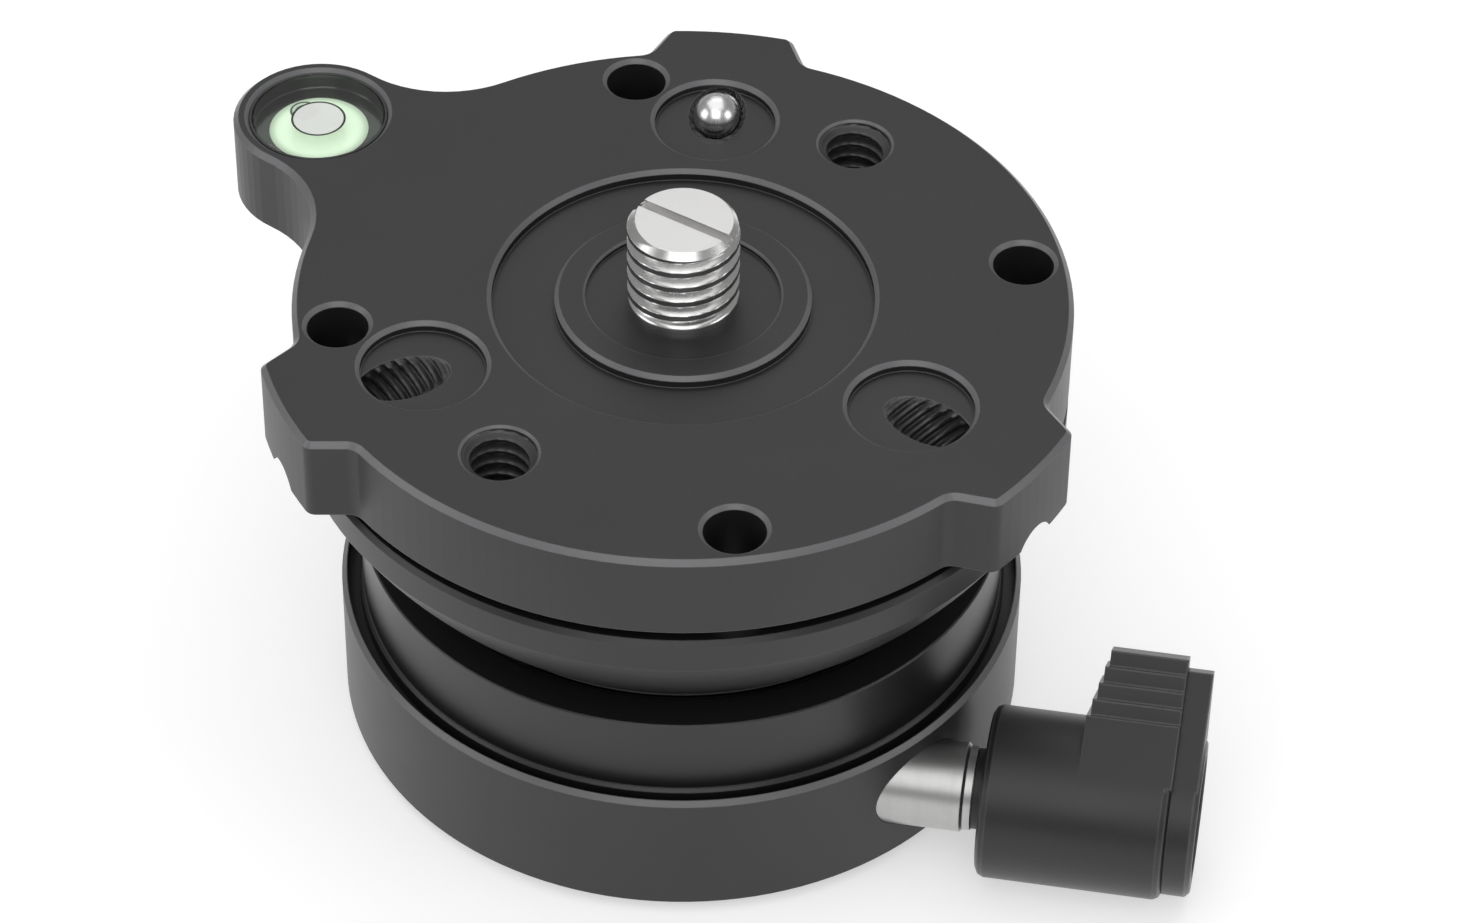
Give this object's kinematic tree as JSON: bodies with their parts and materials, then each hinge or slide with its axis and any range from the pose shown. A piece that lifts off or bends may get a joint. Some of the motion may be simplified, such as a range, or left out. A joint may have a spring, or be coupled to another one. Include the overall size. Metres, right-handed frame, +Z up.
{
  "type": "leveling head",
  "caption": "Round tripod leveling head: a half ball in a seat ring carries a top plate with a camera stud and a round vial, and a side knob with a thumb fin locks it.",
  "frame": {"origin": "centre of the tripod socket's mouth, in the plane of the pad", "axes": "+Z up along the camera stud; the knob points along +X, turned 3.4 degrees towards -Y; -Y is the front; the vial's lug is at the back left"},
  "size_m": [0.0895, 0.0694, 0.0525],
  "materials": {
    "black_anodised": "matte black anodised",
    "knob_black": "fine satin black coat",
    "bright_steel": "bright turned",
    "boss_steel": "brushed round the axis",
    "dark_steel": "polished dark",
    "zinc_steel": "zinc plated",
    "grey_aluminium": "plain machined",
    "pad_rubber": "fine grained",
    "liner_plastic": "smooth low-friction",
    "vial_black": "glossy",
    "vial_green": "pale green liquid",
    "bubble_clear": "air bubble",
    "window_clear": "clear with a printed ring"
  },
  "bodies": {
    "base": {"housing": "black_anodised", "base_pad": "pad_rubber", "tripod_bushing": "bright_steel", "seat_ring": "black_anodised", "seat_screws": "zinc_steel", "fulcrum_bracket": "zinc_steel", "bracket_screws": "zinc_steel", "fulcrum_pin": "bright_steel", "return_spring": "bright_steel", "spindle_boss": "boss_steel"},
    "liner": {"seat_liner": "liner_plastic"},
    "ball": {"ball_bowl": "black_anodised", "top_plate": "black_anodised", "camera_stud": "bright_steel", "stud_washer": "zinc_steel", "stud_locknut": "zinc_steel", "vial_cup": "vial_black", "vial_liquid": "vial_green", "vial_bubble": "bubble_clear", "vial_window": "window_clear"},
    "set_screw_back": {"set_screw_back": "dark_steel"},
    "set_screw_left": {"set_screw_left": "bright_steel"},
    "set_screw_right": {"set_screw_right": "bright_steel"},
    "clamp": {"clamp_dome": "grey_aluminium", "tie_bolt": "zinc_steel", "disc_spring": "zinc_steel", "tie_nut": "zinc_steel"},
    "lever": {"pull_lever": "zinc_steel"},
    "knob": {"lock_spindle": "bright_steel", "spindle_clip": "dark_steel", "spindle_washer": "liner_plastic", "knob_body": "knob_black", "knob_cap": "knob_black", "knob_screw": "bright_steel"}
  },
  "joints": [
    {"name": "pan", "type": "hinge", "parent": "base", "child": "liner", "pos_m": [0, 0, 0.04935], "axis": [0, 0, 1], "continuous": true},
    {"name": "tilt", "type": "hinge", "parent": "liner", "child": "ball", "pos_m": [0, 0, 0.04935], "axis": [1, 0, 0], "range_deg": [-15, 15]},
    {"name": "lock_turn", "type": "hinge", "parent": "base", "child": "knob", "pos_m": [-0.00105, -0.01761, 0.00775], "axis": [0.9982, -0.0593, 0], "range_deg": [-80, 80]},
    {"name": "lever_swing", "type": "hinge", "parent": "base", "child": "lever", "pos_m": [0.0011, 0.01857, 0.01002], "axis": [0.9982, -0.0593, 0], "range_deg": [-0.63, 0.63]},
    {"name": "dome_pull", "type": "slide", "parent": "base", "child": "clamp", "axis": [0, 0, 1], "range_m": [-0.000207, 0.000207]},
    {"name": "set_back", "type": "slide", "parent": "ball", "child": "set_screw_back", "axis": [0, 0.788, -0.6157], "range_m": [0, 0.00585]},
    {"name": "set_left", "type": "slide", "parent": "ball", "child": "set_screw_left", "axis": [0.6824, 0.394, 0.6157], "range_m": [0, 0.00585]},
    {"name": "set_right", "type": "slide", "parent": "ball", "child": "set_screw_right", "axis": [-0.6824, 0.394, 0.6157], "range_m": [0, 0.00585]}
  ],
  "couplings": [
    {"joint": "lever_swing", "follows": "lock_turn", "ratio": 0.0077863},
    {"joint": "dome_pull", "follows": "lock_turn", "m_per_rad": -0.00014485}
  ]
}
